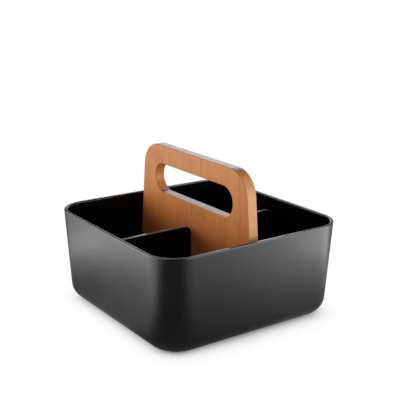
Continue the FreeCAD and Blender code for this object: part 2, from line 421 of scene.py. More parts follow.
class Term:
    """A number, colour or shader that a node gives; sums of numbers make math nodes."""

    def __init__(self, graph: "Graph", socket: bpy.types.NodeSocket) -> None:
        """Hold the socket and the graph that it lies in."""
        self.graph = graph
        self.socket = socket

    def __add__(self, other: Value) -> "Term":
        """This plus another number."""
        return self.graph.math("ADD", self, other)

    def __sub__(self, other: Value) -> "Term":
        """This minus another number."""
        return self.graph.math("SUBTRACT", self, other)

    def __rsub__(self, other: float) -> "Term":
        """A plain number minus this."""
        return self.graph.math("SUBTRACT", other, self)

    def __mul__(self, other: Value) -> "Term":
        """This times another number."""
        return self.graph.math("MULTIPLY", self, other)

    def __truediv__(self, other: Value) -> "Term":
        """This divided by another number."""
        return self.graph.math("DIVIDE", self, other)

    def __pow__(self, power: float) -> "Term":
        """This raised to a power."""
        return self.graph.math("POWER", self, power)

    def __abs__(self) -> "Term":
        """This without its sign."""
        return self.graph.math("ABSOLUTE", self)


class Graph:
    """A node tree with short calls for what the finishes and the studio share."""

    def __init__(self, owner: Union[bpy.types.Material, bpy.types.World],
                 coordinates: str = "Object") -> None:
        """Take over the owner's node tree, empty it and read the place that it colours.

        Args:
            owner: The material or the world.
            coordinates: What gives the place, as Blender names it.
        """
        owner.use_nodes = True
        self.tree = owner.node_tree
        self.tree.nodes.clear()
        self.place = self.node("ShaderNodeTexCoord", output=coordinates)

    def node(self, kind: str, inputs: Optional[dict] = None, output: Union[int, str] = 0,
             **settings: object) -> Term:
        """Add a node.

        Args:
            kind: The node's Blender type.
            inputs: A plain value or a term for each named or numbered input.
            output: The wanted output's number or name.
            settings: The node's own properties.

        Returns:
            The wanted output.
        """
        made = self.tree.nodes.new(kind)
        for key, value in settings.items():
            setattr(made, key, value)
        for key, value in (inputs or {}).items():
            if isinstance(value, Term):
                self.tree.links.new(value.socket, made.inputs[key])
            else:
                made.inputs[key].default_value = value
        return Term(self, made.outputs[output])

    def close(self, kind: str, surface: Term) -> None:
        """End the graph in its output node."""
        self.tree.links.new(surface.socket, self.tree.nodes.new(kind).inputs["Surface"])

    def math(self, operation: str, a: Value, b: Value = 0.0) -> Term:
        """One scalar sum, named as Blender names it."""
        return self.node("ShaderNodeMath", {0: a, 1: b}, operation=operation)

    def ramp(self, value: Term, low: float, high: float, to_low: float = 0.0,
             to_high: float = 1.0) -> Term:
        """A smooth step from to_low to to_high as the value goes from low to high."""
        return self.node("ShaderNodeMapRange", {
            "Value": value, "From Min": low, "From Max": high, "To Min": to_low,
            "To Max": to_high}, interpolation_type="SMOOTHSTEP")

    def table(self, value: Term, stops: Sequence[tuple], kind: str = "LINEAR") -> Term:
        """Look a number between 0 and 1 up in a table.

        Args:
            value: The number.
            stops: (position, level) from 0 upwards.
            kind: How the table goes between its stops, as Blender names it.

        Returns:
            The level.
        """
        found = self.node("ShaderNodeValToRGB", {"Fac": value})
        ramp = found.socket.node.color_ramp
        ramp.interpolation = kind
        ramp.elements.remove(ramp.elements[-1])
        for number, (position, level) in enumerate(stops):
            stop = ramp.elements.new(position) if number else ramp.elements[0]
            stop.position = position
            stop.color = (level, level, level, 1.0)
        return found

    def axes(self, vector: Term) -> tuple:
        """The three parts of a vector."""
        return tuple(self.node("ShaderNodeSeparateXYZ", {0: vector}, part) for part in range(3))

    def join(self, x: Value, y: Value, z: Value) -> Term:
        """A vector from three numbers."""
        return self.node("ShaderNodeCombineXYZ", {0: x, 1: y, 2: z})

    def stretch(self, place: Term, scale: tuple) -> Term:
        """A place scaled on each axis, which draws a pattern out along the small ones."""
        return self.node("ShaderNodeMapping", {"Vector": place, "Scale": scale})

    def _cells(self, place: Term, cells: Union[float, tuple]) -> dict:
        """A pattern's inputs for so many cells in a metre, or in a metre of each axis."""
        if isinstance(cells, tuple):
            return {"Vector": self.stretch(place, cells), "Scale": 1.0}
        return {"Vector": place, "Scale": cells}

    def noise(self, cells: Union[float, tuple], detail: float, roughness: float,
              place: Optional[Term] = None) -> Term:
        """Fractal noise between about 0 and 1.

        Args:
            cells: How many cells a metre holds, or a metre of each axis.
            detail: How many finer layers lie over the cells.
            roughness: How strong each layer is beside the one before it.
            place: Where it is read, if not at the graph's own place.

        Returns:
            The noise.
        """
        inputs = self._cells(place or self.place, cells)
        return self.node("ShaderNodeTexNoise", {
            **inputs, "Detail": detail, "Roughness": roughness}, "Fac")

    def dots(self, cells: Union[float, tuple]) -> Term:
        """How far the place lies from the nearest of the dots strewn one to a cell."""
        return self.node("ShaderNodeTexVoronoi", self._cells(self.place, cells), "Distance")

    def mix(self, share: Value, a: Value, b: Value, blend: str = "MIX") -> Term:
        """Blend two colours; the numbers are those of the node's colour sockets."""
        return self.node("ShaderNodeMix", {0: share, 6: a, 7: b}, 2, data_type="RGBA",
                         blend_type=blend)

    def bump(self, height: Term, distance: float, strength: float) -> Term:
        """A surface normal bent by a height map; the distance is in metres."""
        return self.node("ShaderNodeBump", {
            "Height": height, "Distance": distance, "Strength": strength})

    def ray(self, kind: str) -> Term:
        """1 for one kind of ray, as Blender names it, and 0 for the others."""
        return self.node("ShaderNodeLightPath", output=kind)

    def light(self, kind: str, strength: Value) -> Term:
        """A shader that gives white light of a strength."""
        return self.node(kind, {"Color": WHITE, "Strength": strength})

    def either(self, share: Term, a: Term, b: Term) -> Term:
        """Shader a, passing to shader b as the share goes from 0 to 1."""
        return self.node("ShaderNodeMixShader", {0: share, 1: a, 2: b})


class Finish:
    """A material with one principled shader, whose inputs each kind of finish works out."""

    name: str

    def inputs(self, graph: Graph) -> dict:
        """Work out the shader's inputs at the graph's place.

        Args:
            graph: Where the nodes go.

        Returns:
            A value or term for each of the shader's inputs that the finish sets.
        """
        raise NotImplementedError

    def material(self) -> bpy.types.Material:
        """Build the finish on the piece's own coordinates.

        Returns:
            The new material.
        """
        material = bpy.data.materials.new(self.name)
        graph = Graph(material)
        shader = graph.node("ShaderNodeBsdfPrincipled", self.inputs(graph))
        graph.close("ShaderNodeOutputMaterial", shader)
        return material


@dataclass(frozen=True)
class MouldedPlastic(Finish):
    """Black polypropylene with a fine spark-eroded grain, a little uneven in its sheen."""

    name: str = "moulded_black_plastic"
    tones: tuple = ((0.0050, 0.0050, 0.0055, 1.0), (0.0085, 0.0085, 0.0090, 1.0))
    roughness: tuple = (0.27, 0.33)
    specular: float = 1.0
    refraction: float = 1.55
    grain: tuple = (500.0, 2.0, 0.6)     # noise: cells in a metre, detail and roughness
    clouds: tuple = (22.0, 4.0, 0.55)
    flow: tuple = ((30.0, 30.0, 6.0), 3.0, 0.5)
    cloud_share: float = 0.6
    pits: float = 350.0                  # in a metre
    pit_share: float = 0.6
    grain_depth: float = 0.00010
    grain_strength: float = 0.60

    def inputs(self, graph: Graph) -> dict:
        """Grain is noise and pits; sheen is soft clouds and the streaks of the melt's flow.

        Args:
            graph: Where the nodes go.

        Returns:
            The colour, sheen and relief, and the plain values.
        """
        grain = graph.noise(*self.grain)
        clouds = graph.noise(*self.clouds) * self.cloud_share
        sheen = clouds + graph.noise(*self.flow) * (1 - self.cloud_share)
        relief = grain + graph.dots(self.pits) * self.pit_share
        return {
            "Base Color": graph.mix(graph.ramp(grain, 0.35, 0.75), *self.tones),
            "Roughness": graph.ramp(sheen, 0.3, 0.7, *self.roughness),
            "Specular IOR Level": self.specular,
            "IOR": self.refraction,
            "Normal": graph.bump(relief, self.grain_depth, self.grain_strength),
        }


@dataclass(frozen=True)
class Mottled(Finish):
    """Two tones in patches, which carry the sheen too, over a fine relief.

    Patches and relief are noise: its cells in a metre or on each axis, detail and roughness.
    """

    name: str
    tones: tuple
    blend: tuple                 # where the patches pass from the first tone to the second
    roughness: tuple
    patches: tuple
    relief: tuple
    bump: tuple                  # the relief's depth in metres and its strength
    specular: float = 0.5
    metallic: float = 0.0

    def tone(self, graph: Graph, patches: Term) -> Term:
        """The colour that the patches give."""
        return graph.mix(graph.ramp(patches, *self.blend), *self.tones)

    def inputs(self, graph: Graph) -> dict:
        """Let the patches give tone and sheen, and a finer noise the relief.

        Args:
            graph: Where the nodes go.

        Returns:
            The colour, sheen and relief, and the plain values.
        """
        patches = graph.noise(*self.patches)
        return {
            "Base Color": self.tone(graph, patches),
            "Roughness": graph.ramp(patches, 0.3, 0.7, *self.roughness),
            "Specular IOR Level": self.specular,
            "Metallic": self.metallic,
            "Normal": graph.bump(graph.noise(*self.relief), *self.bump),
        }


@dataclass(frozen=True)
class DividerPlastic(Mottled):
    """The dividers' smoother black plastic, with faint upright marks from sliding in and out.

    Its top edge can pass to another tone, a painted highlight.
    """

    name: str = "smooth_black_plastic"
    tones: tuple = ((0.0026, 0.0026, 0.0029, 1.0), (0.0050, 0.0050, 0.0054, 1.0))
    blend: tuple = (0.5, 0.8)
    roughness: tuple = (0.26, 0.34)
    patches: tuple = ((400.0, 400.0, 18.0), 3.0, 0.6)
    relief: tuple = (1800.0, 2.0, 0.6)
    bump: tuple = (0.00002, 0.12)
    specular: float = 0.10
    # Painted highlight: the tone of a band along the top edge; by default the same as the second
    # tone
    painted_highlight: tuple = (0.0050, 0.0050, 0.0054, 1.0)
    painted_highlight_zone: tuple = (0.0830, 0.0852)  # heights in metres, from the plain tone to the painted highlight

    def tone(self, graph: Graph, patches: Term) -> Term:
        """The colour that the patches give, passing to the painted highlight near the top edge."""
        painted_highlight = graph.ramp(graph.axes(graph.place)[2], *self.painted_highlight_zone)
        return graph.mix(painted_highlight, super().tone(graph, patches), self.painted_highlight)


@dataclass(frozen=True)
class ZincSteel(Mottled):
    """Zinc-plated steel with faint clouds in the plating."""

    name: str = "zinc_plated_steel"
    tones: tuple = ((0.66, 0.67, 0.68, 1.0), (0.47, 0.48, 0.50, 1.0))
    blend: tuple = (0.35, 0.65)
    roughness: tuple = (0.24, 0.42)
    patches: tuple = (380.0, 4.0, 0.6)
    relief: tuple = (2600.0, 2.0, 0.5)
    bump: tuple = (0.00002, 0.15)
    metallic: float = 1.0


@dataclass(frozen=True)
class FootRubber(Mottled):
    """Soft grey-black rubber with a dusty bloom and a fine cast grain."""

    name: str = "foot_rubber_matt"
    tones: tuple = ((0.030, 0.030, 0.031, 1.0), (0.062, 0.060, 0.058, 1.0))
    blend: tuple = (0.4, 0.75)
    roughness: tuple = (0.72, 0.88)
    patches: tuple = (300.0, 5.0, 0.65)
    relief: tuple = (3200.0, 2.0, 0.6)
    bump: tuple = (0.00003, 0.35)


@dataclass(frozen=True)
class Bamboo(Finish):
    """Caramel bamboo: upright strips side by side in three plies, with a culm node in some.

    The pattern is solid. The fibres are noise drawn out along Z, a strip's tone and its node's
    height change from strip to strip along X, and faces across the fibres show end grain.
    """

    name: str = "caramel_bamboo"
    pale: tuple = (0.72, 0.282, 0.074, 1.0)
    deep: tuple = (0.54, 0.184, 0.041, 1.0)
    edge: tuple = (0.74, 0.365, 0.155, 1.0)
    node_tone: tuple = (0.36, 0.115, 0.035, 1.0)
    end_tone: tuple = (0.32, 0.145, 0.112, 1.0)
    glue: tuple = (0.16, 0.075, 0.035, 1.0)
    # Painted shade: the rounded arrises, where the normal turns away from the broad faces, are
    # multiplied darker and redder
    painted_arris_shade_tint: tuple = (0.82, 0.62, 0.52, 1.0)
    # Painted shade: below the zone's top the board is multiplied darker and redder, fully so at its
    # bottom, for the dimness inside the tray
    painted_shade_tint: tuple = (0.97, 0.74, 0.82, 1.0)
    painted_shade_zone: tuple = (72.0, 120.0)
    edge_zone: tuple = (70.0, 82.0)
    strip_width: float = 25.4
    strip_start: float = -102.3
    ply: float = 3.7
    node_heights: tuple = (30.0, 144.0, 61.0, 20.0, 101.0, 250.0, 240.0, 44.0, 230.0)
    tallest: float = 255.0                # the node height that a table level of 1 stands for
    node_band: tuple = (1.0, 9.0)
    node_sway: tuple = ((90.0, 90.0, 20.0), 2.0, 0.5)
    node_wave: float = 7.0                # how far the sway moves it, from end to end
    strip_seam: tuple = (0.0024, 0.0096)  # shares of a strip at which its glue is full and gone
    ply_seam: tuple = (0.02, 0.09)
    wide_fibres: tuple = ((420.0, 420.0, 6.0), 3.0, 0.6)
    fine_fibres: tuple = ((1500.0, 1500.0, 16.0), 3.0, 0.65)
    slow_fibres: tuple = ((60.0, 60.0, 9.0), 2.0, 0.5)
    fibre_shift: float = 4.0              # metres: the most that a strip's fibres move along it
    node_dashes: tuple = ((900.0, 900.0, 130.0), 3.0, 0.6)
    flecks: tuple = ((600.0, 600.0, 250.0), 3.0, 0.7)
    end_streaks: tuple = ((45.0, 800.0, 25.0), 3.0, 0.6)
    end_dots: tuple = (1500.0, 1500.0, 40.0)
    roughness: tuple = (0.42, 0.34)
    specular: float = 0.35
    bump: tuple = (0.00012, 0.22)

    def inputs(self, graph: Graph) -> dict:
        """Lay nodes, glue lines, paler ends, cut ends and painted shade (at the foot and along the
        arrises) over the strips' tones.

        Args:
            graph: Where the nodes go.

        Returns:
            The colour, sheen and relief, and the plain values.
        """
        x, y, z = graph.axes(graph.stretch(graph.place, (1 / MM, 1 / MM, 1 / MM)))
        across = (x - self.strip_start) / self.strip_width
        through = y / self.ply + 0.5
        strip = graph.math("FLOOR", across)
        lot = graph.node("ShaderNodeTexWhiteNoise", {
            "Vector": graph.join(strip, graph.math("FLOOR", through), 3.0)}, "Value",
            noise_dimensions="3D")
        side, broad, upright = map(abs, graph.axes(
            graph.node("ShaderNodeTexCoord", output="Normal")))
        fibres = self._fibres(graph, lot)
        node = self._nodes(graph, strip, z)
        joint = self._seam(graph, across, *self.strip_seam)
        outer = graph.ramp(side, 0.3, 0.85) * graph.ramp(abs(x), *self.edge_zone)
        flecks = graph.ramp(graph.noise(*self.flecks), 0.40, 0.75, 0.0, 0.35)
        # painted shade on the arrises, picked out by how far the normal leans along Y
        painted_arris_shade = graph.ramp(broad, 0.15, 0.45) * graph.ramp(broad, 0.80, 0.98, 1.0, 0.0)
        cut = graph.ramp(upright, 0.86, 0.99)
        colour = graph.mix(graph.ramp(fibres + lot * 0.10, 0.28, 0.84), self.pale, self.deep)
        for share, tone, blend in (
                # painted shade towards the board's foot
                (graph.ramp(z, *self.painted_shade_zone, 1.0, 0.0), self.painted_shade_tint, "MULTIPLY"),
                (node * 0.55, self.node_tone, "MIX"),
                (joint * 0.35, self.glue, "MIX"),
                (outer * 0.8, self.edge, "MIX"),
                (outer * flecks, self.deep, "MIX"),
                (painted_arris_shade, self.painted_arris_shade_tint, "MULTIPLY"),
                (cut, self._end_grain(graph, through, lot), "MIX")):
            colour = graph.mix(share, colour, tone, blend)
        return {
            "Base Color": colour,
            "Roughness": graph.ramp(fibres + cut, 0.2, 1.6, *self.roughness),
            "Specular IOR Level": self.specular,
            "Normal": graph.bump(fibres + node * 0.6 - joint, *self.bump),
        }

    def _fibres(self, graph: Graph, lot: Term) -> Term:
        """Fine dark lines and wider streaks along Z, shifted from strip to strip.

        Args:
            graph: Where the nodes go.
            lot: The strip's random number.

        Returns:
            How dark the fibres are, from 0 to 1.
        """
        moved = graph.node("ShaderNodeVectorMath", {
            0: graph.place, 1: graph.join(0.0, 0.0, lot * self.fibre_shift)}, operation="ADD")
        wide, fine, slow = (graph.noise(*fibres, moved) for fibres in (
            self.wide_fibres, self.fine_fibres, self.slow_fibres))
        return wide * 0.62 + graph.ramp(fine, 0.42, 0.70) * 0.22 + slow * 0.16

    def _nodes(self, graph: Graph, strip: Term, z: Term) -> Term:
        """A wavy band of short dark dashes round each strip's own node height.

        Args:
            graph: Where the nodes go.
            strip: The strip's number, from 0.
            z: The height in millimetres.

        Returns:
            How dark the node is, from 0 to 1.
        """
        count = len(self.node_heights)
        stops = [(number / count, height / self.tallest)
                 for number, height in enumerate(self.node_heights)]
        centre = graph.table((strip + 0.5) / count, stops, "CONSTANT") * self.tallest
        wave = (graph.noise(*self.node_sway) - 0.5) * self.node_wave
        band = graph.ramp(abs(z + wave - centre), *self.node_band, 1.0, 0.0)
        return band * graph.ramp(graph.noise(*self.node_dashes), 0.40, 0.66, 0.25, 1.0)

    @staticmethod
    def _seam(graph: Graph, count: Term, full: float, faded: float) -> Term:
        """1 where a count of strips or plies is a whole number, fading out beside it."""
        share = graph.math("FRACT", count)
        return graph.ramp(graph.math("MINIMUM", share, 1.0 - share), full, faded, 1.0, 0.0)

    def _end_grain(self, graph: Graph, through: Term, lot: Term) -> Term:
        """Cut fibre ends: dark dots and streaks on brown, and the glue between the plies.

        Args:
            graph: Where the nodes go.
            through: The count of plies at the place.
            lot: The strip's random number.

        Returns:
            The colour.
        """
        streaks = graph.ramp(graph.noise(*self.end_streaks), 0.35, 0.75, 0.0, 0.6)
        dots = graph.ramp(graph.dots(self.end_dots), 0.12, 0.42, 0.35, 0.0)
        colour = graph.mix(streaks, self.end_tone, self.glue)
        colour = graph.mix(lot * 0.3, colour, self.deep)
        colour = graph.mix(dots, colour, self.glue)
        return graph.mix(self._seam(graph, through, *self.ply_seam) * 0.6, colour, self.glue)


# The caddy's pieces


@dataclass
class Tray:
    """The moulded tray: one drafted skin with guides, screw bosses and recesses for the feet."""

    outside: MouldedPlastic
    inside: MouldedPlastic
    side: float = 210.0
    underside: float = 1.0
    rim: float = 96.5
    lean: float = 4.6
    wall: float = 3.4
    floor_top: float = 4.0
    corner: float = 30.0
    base_edge: float = 17.0
    rim_rounding: tuple = (0.8, 1.3)     # outside and inside
    rim_steps: tuple = (5, 7)            # likewise, as in the next line
    base_steps: tuple = (14, 12)
    corner_steps: int = 18
    hole_steps: int = 32
    wall_rows: tuple = (40.0, 60.0, 80.0)
    base_lead: float = 2.5               # from a rounding to the row that holds its neighbour flat
    rim_lead: float = 1.5
    floor_lead: float = 2.0
    corner_lead: float = 2.5
    boss_radius: float = 8.0
    boss_top: float = 7.0
    counterbore: tuple = (5.75, 5.0)     # radius and height of its ceiling
    screw_hole: float = 2.3
    foot_recess: tuple = (6.15, 2.2)     # radius and height of its ceiling
    rib_root: float = 1.5
    rib_thickness: float = 2.0
    rib_draft: float = 0.5
    rib_rounding: float = 0.25
    rib_corner: float = 0.3
    rib_top_corner: float = 2.5
    rib_fillet: float = 9.0
    board_slot: float = 5.65
    divider_slot: float = 1.55
    board_rib: tuple = (9.0, 41.0, 8.0)  # height, height of its arm, and how far that stands in
    divider_rib: tuple = (6.0, 43.0, 6.5)

    def half(self, z: Union[float, Array]) -> Union[float, Array]:
        """Half the outside width at a height: side / 2 - lean (rim - z) / (rim - underside)."""
        return self.side / 2 - self.lean * (self.rim - z) / (self.rim - self.underside)

    def _profile(self) -> tuple:
        """The wall's section as rows of (half width, z), from under the tray over the rim.

        Each rounding is an arc that touches the leaning wall line and a level line.

        Returns:
            The rows outside, over the whole rim, and the rows from there inside.
        """
        tilt = math.degrees(math.atan(self.lean / (self.rim - self.underside)))
        over = 1 / math.cos(math.radians(tilt))
        (ease, soft), big = self.rim_rounding, self.base_edge
        small = big - self.wall
        low, high = self.underside + big, self.rim - ease
        inner_low, inner_high = self.floor_top + small, self.rim - soft
        base_out = (self.half(low) - big * over, low)
        base_in = (self.half(inner_low) - self.wall - small * over, inner_low)
        rim_out = (self.half(high) - ease * over, high)
        rim_in = (self.half(inner_high) - self.wall + soft * over, inner_high)
        heights = np.array([low + self.base_lead, *self.wall_rows, high - self.rim_lead])
        outer = np.stack([self.half(heights), heights], axis=1)
        heights = np.array([inner_high - self.rim_lead, *reversed(self.wall_rows),
                            inner_low + self.base_lead])
        inner = np.stack([self.half(heights) - self.wall, heights], axis=1)
        rim_end = arc(rim_in, soft, 90, 180 - tilt, self.rim_steps[1])
        return np.concatenate([
            [(base_out[0] - self.floor_lead, self.underside)],
            arc(base_out, big, -90, -tilt, self.base_steps[0]),
            outer,
            arc(rim_out, ease, -tilt, 90, self.rim_steps[0]),
            rim_end,
        ]), np.concatenate([
            rim_end[-1:],
            inner,
            arc(base_in, small, -tilt, -90, self.base_steps[1]),
            [(base_in[0] - self.floor_lead, self.floor_top)],
        ])

    def _rings(self, profile: Array) -> Array:
        """Carry each row of a section round a rounded square whose corners keep their centres.

        A point is (sx c + r cos t, sy c + r sin t) with c = half(z) - corner and r = half - c.

        Args:
            profile: Rows of (half width, z).

        Returns:
            Points of (rows, around, 3).
        """
        half, z = profile[:, :1], profile[:, 1:]
        centre = self.half(z) - self.corner
        radius = half - centre
        share = np.arange(-1, self.corner_steps + 2) / self.corner_steps
        turn = np.radians(90 * np.clip(share, 0, 1))
        slide = np.zeros((len(turn), 2))
        slide[0] = (0, -self.corner_lead)
        slide[-1] = (-self.corner_lead, 0)
        corner = np.stack([centre + radius * np.cos(turn) + slide[:, 0],
                           centre + radius * np.sin(turn) + slide[:, 1]], axis=-1)
        columns = []
        for quarter in range(4):
            c, s = math.cos(quarter * math.pi / 2), math.sin(quarter * math.pi / 2)
            columns.append(corner @ np.array([[c, s], [-s, c]]))
        plan = np.concatenate(columns, axis=1)
        return on_xy(plan[..., 0], plan[..., 1], z)

    def _shell(self, skin: Skin) -> None:
        """Add the walls, the floor and the underside, with bosses and recesses let into them.

        Args:
            skin: Where the surfaces go.
        """
        outer, hollow = map(self._rings, self._profile())
        screws = [(x, 0.0) for x in SCREW_XS]
        feet = [(x, y) for x in (-FOOT_OUT, FOOT_OUT) for y in (-FOOT_OUT, FOOT_OUT)]
        bore, ceiling = self.counterbore
        pocket, depth = self.foot_recess

        def rounds(places: Sequence[tuple], radius: float) -> list:
            """A circle about each place."""
            return [circle(x, y, radius, self.hole_steps) for x, y in places]

        skin.grid(outer)
        recess = np.array([(pocket, self.underside), (pocket, depth), (0.0, depth)])
        for x, y in feet:
            add_turned(skin, recess, x, y, self.hole_steps)
        skin.flat([outer[0, :, :2], *rounds(screws, bore), *rounds(feet, pocket)], on_xy,
                  self.underside)
        skin.coat = Coat.SECOND
        skin.grid(hollow)
        boss = np.array([
            (self.boss_radius, self.floor_top), (self.boss_radius, self.boss_top),
            (self.screw_hole, self.boss_top), (self.screw_hole, ceiling),
            (bore, ceiling), (bore, self.underside)])
        for x, y in screws:
            add_turned(skin, boss, x, y, self.hole_steps)
        skin.flat([hollow[-1, :, :2], *rounds(screws, self.boss_radius)], on_xy, self.floor_top)

    def _rib(self, skin: Skin, start: float, sizes: tuple, slot: float, turn: int,
             mirror: int) -> None:
        """Add one L-shaped guide: out along the floor, then up the wall, thinner upwards.

        Its depth w of -1 to 1 becomes y = slot + thickness / 2 + w (thickness / 2 - draft),
        where draft = (z - floor) tan(draft angle).

        Args:
            skin: Where the surfaces go.
            start: Where the rib begins along the slot.
            sizes: Its height, the height of its upright arm, and how far that stands off the wall.
            slot: Half the width of the slot that it borders.
            turn: Quarter turns about the middle of the tray.
            mirror: 1 or -1, the side of the slot.
        """
        height, arm, reach = sizes
        root = self.floor_top - self.rib_root
        crest, top = self.floor_top + height, self.floor_top + arm
        sunk = self.rib_root - self.wall
        small = self.rib_corner
        outline = Outline([
            (start, root, small), (self.half(root) + sunk, root, self.base_edge + sunk),
            (self.half(top) + sunk, top, small),
            (self.half(top) - self.wall - reach, top, self.rib_top_corner),
            (self.half(crest) - self.wall - reach, crest, self.rib_fillet),
            (start, crest, small)], step=9.0, lead=0.6)
        thick = self.rib_thickness / 2
        lean = math.tan(math.radians(self.rib_draft))
        quarter = np.array([[0, 1, 0], [-1, 0, 0], [0, 0, 1]])
        spin = np.linalg.matrix_power(quarter, turn)

        def place(u: Array, v: Array, w: Array) -> Array:
            """Lean the rib's faces in, mirror it and turn it to its wall."""
            depth = slot + thick + w / thick * (thick - (v - self.floor_top) * lean)
            return on_xz(u, v, mirror * depth) @ spin

        add_plate(skin, outline, self.rib_thickness, self.rib_rounding, place, support=0.3,
                  steps=2, edge_coat=Coat.SECOND, face_coat=Coat.SECOND)

    def build(self) -> None:
        """Make the tray and dress it."""
        skin = Skin()
        self._shell(skin)
        past_board = self.board_slot + self.rib_thickness / 2
        for mirror in (-1, 1):
            for turn in (0, 2):
                self._rib(skin, self.divider_slot, self.board_rib, self.board_slot, turn, mirror)
            for turn in (1, 3):
                self._rib(skin, past_board, self.divider_rib, self.divider_slot, turn, mirror)
        dress(skin.piece("moulded_tray"), [self.outside.material(), self.inside.material()],
              Body.CADDY, ["tray"])


@dataclass
class HandleBoard:
    """The bamboo board that stands across the tray and is its handle."""

    finish: Bamboo
    thickness: float = 11.0
    foot: float = 7.0
    foot_half: float = 96.41
    foot_radius: float = 15.0
    knee: float = 54.0
    knee_radius: float = 80.0
    top: float = 156.5
    top_half: float = 86.41
    top_radius: float = 26.5
    hole_half: float = 67.0
    hole_span: tuple = (107.5, 137.5)
    hole_straight: float = 0.01          # left between the two roundings of the hole's end
    rounding: float = 0.8

    def build(self) -> None:
        """Make the board: a rounded edge carried round its outline and round its hand hole."""
        right = [(self.foot_half, self.foot, self.foot_radius),
                 (self.foot_half, self.knee, self.knee_radius),
                 (self.top_half, self.top, self.top_radius)]
        left = [(-u, v, radius) for u, v, radius in reversed(right)]
        reach, (low, high) = self.hole_half, self.hole_span
        end = (high - low) / 2 - self.hole_straight
        hole = Outline([(-reach, low, end), (reach, low, end), (reach, high, end),
                        (-reach, high, end)], step=5.0, lead=self.hole_straight / 2)
        skin = Skin()
        add_plate(skin, Outline(right + left, step=4.0, lead=2.0), self.thickness, self.rounding,
                  on_xz, support=1.2, steps=5, holes=[hole])
        dress(skin.piece("bamboo_handle_board"), [self.finish.material()],
              Body.CADDY, ["handle_board"])


@dataclass
class Divider:
    """A loose plate between the board and an outer wall."""

    finishes: list               # of its faces and of its edge
    side: Side
    thickness: float = 2.5
    bottom: float = 4.3
    top: float = 85.5
    near: float = 6.7
    far_bottom: float = 94.56
    far_top: float = 98.47
    corner: float = 7.5
    heel: float = 16.2
    toe: float = 0.8
    rounding: float = 0.5

    def build(self) -> None:
        """Make the plate: a rounded edge carried round its outline, on its side of the board."""
        outline = Outline([
            (self.near, self.bottom, self.toe), (self.far_bottom, self.bottom, self.heel),
            (self.far_top, self.top, self.corner), (self.near, self.top, self.corner)],
            step=5.0, lead=1.0)

        def place(u: Array, v: Array, w: Array) -> Array:
            """Stand the plate on its side of the board."""
            return on_yz(self.side.value * u, v, w)

        skin = Skin()
        add_plate(skin, outline, self.thickness, self.rounding, place, support=0.4, steps=4,
                  edge_coat=Coat.SECOND)
        name, body = {Side.FRONT: ("front", Body.FRONT_DIVIDER),
                      Side.BACK: ("back", Body.BACK_DIVIDER)}[self.side]
        dress(skin.piece(f"divider_plate_{name}"), self.finishes, body,
              [f"divider_{name}"])


@dataclass
class Screw:
    """A pan-head wood screw, driven upwards, with a cross recess and a rolled thread."""

    finish: bpy.types.Material
    number: int
    x: float
    head_radius: float = 4.0
    head_bottom: float = 1.4
    head_seat: float = 4.0
    dome: float = 0.35                   # how much the head's middle stands out
    rim_curve: tuple = ((0.5, 0.0), (0.2, 0.12), (0.03, 0.4), (0.0, 0.75))
    cross_reach: float = 2.2
    cross_half: float = 0.5
    cross_fade: float = 0.25
    cross_depth: float = 1.45            # at the middle, less by the slope further out
    cross_slope: float = 0.42
    cross_least: float = 0.25
    tip: float = 34.0
    core: float = 1.35
    crest: float = 1.95
    thread_start: float = 12.0
    thread_run_in: float = 1.5
    pitch: float = 1.6
    flank: float = 5.0                   # how steeply a tooth rises, against the pitch
    point: float = 4.5
    point_power: float = 0.8
    around: int = 64
    head_rows: int = 26
    thread_rows: int = 150

    def _head(self, skin: Skin) -> None:
        """Add the head's dome with its cross recess, as a height over a disc, then its rim.

        The dome is z = bottom + dome (r / R)^2, and the recess adds a depth that fades out with
        the distance from the nearer arm of a cross.

        Args:
            skin: Where the surfaces go.
        """
        inner = self.head_radius - self.rim_curve[0][0]
        t = np.linspace(0, 2 * math.pi, self.around, endpoint=False)
        r = np.linspace(0, inner, self.head_rows)[:, None]
        x, y = r * np.cos(t), r * np.sin(t)
        arm = np.minimum(
            np.maximum(np.abs(x) - self.cross_reach, np.abs(y) - self.cross_half),
            np.maximum(np.abs(y) - self.cross_reach, np.abs(x) - self.cross_half))
        sunk = np.clip(0.5 - arm / self.cross_fade, 0, 1)
        cone = np.clip(self.cross_depth - self.cross_slope * r, self.cross_least, None)
        z = self.head_bottom + self.dome * (r / self.head_radius) ** 2 + sunk * cone
        skin.grid(on_xy(self.x + x, y, z))
        edge = self.head_bottom + self.dome * (inner / self.head_radius) ** 2
        rim = [(self.head_radius - inward, edge + up) for inward, up in self.rim_curve]
        rim += [(self.head_radius, self.head_seat), (self.crest, self.head_seat),
                (self.crest, self.thread_start)]
        add_turned(skin, np.array(rim), self.x, 0.0, self.around)

    def _thread(self, skin: Skin) -> None:
        """Add the shank: r = core + (crest - core) tooth(z / pitch - t / 2 pi), with a point.

        Args:
            skin: Where the surface goes.
        """
        t = np.linspace(0, 2 * math.pi, self.around, endpoint=False)
        z = np.linspace(self.thread_start, self.tip, self.thread_rows)[:, None]
        phase = (z - self.thread_start) / self.pitch - t / (2 * math.pi)
        tooth = np.clip(1 - np.abs((phase % 1) - 0.5) * self.flank, 0, 1)
        run_in = np.clip((z - self.thread_start) / self.thread_run_in, 0, 1)
        radius = self.core + (self.crest - self.core) * (tooth * run_in + (1 - run_in))
        radius = radius * np.clip((self.tip - z) / self.point, 0, 1) ** self.point_power
        skin.grid(on_xy(self.x + radius * np.cos(t), radius * np.sin(t), z))

    def build(self) -> None:
        """Make the screw and dress it."""
        skin = Skin()
        self._head(skin)
        self._thread(skin)
        dress(skin.piece(f"wood_screw_{self.number}"), [self.finish], Body.CADDY,
              [f"handle_screw_{self.number}"])


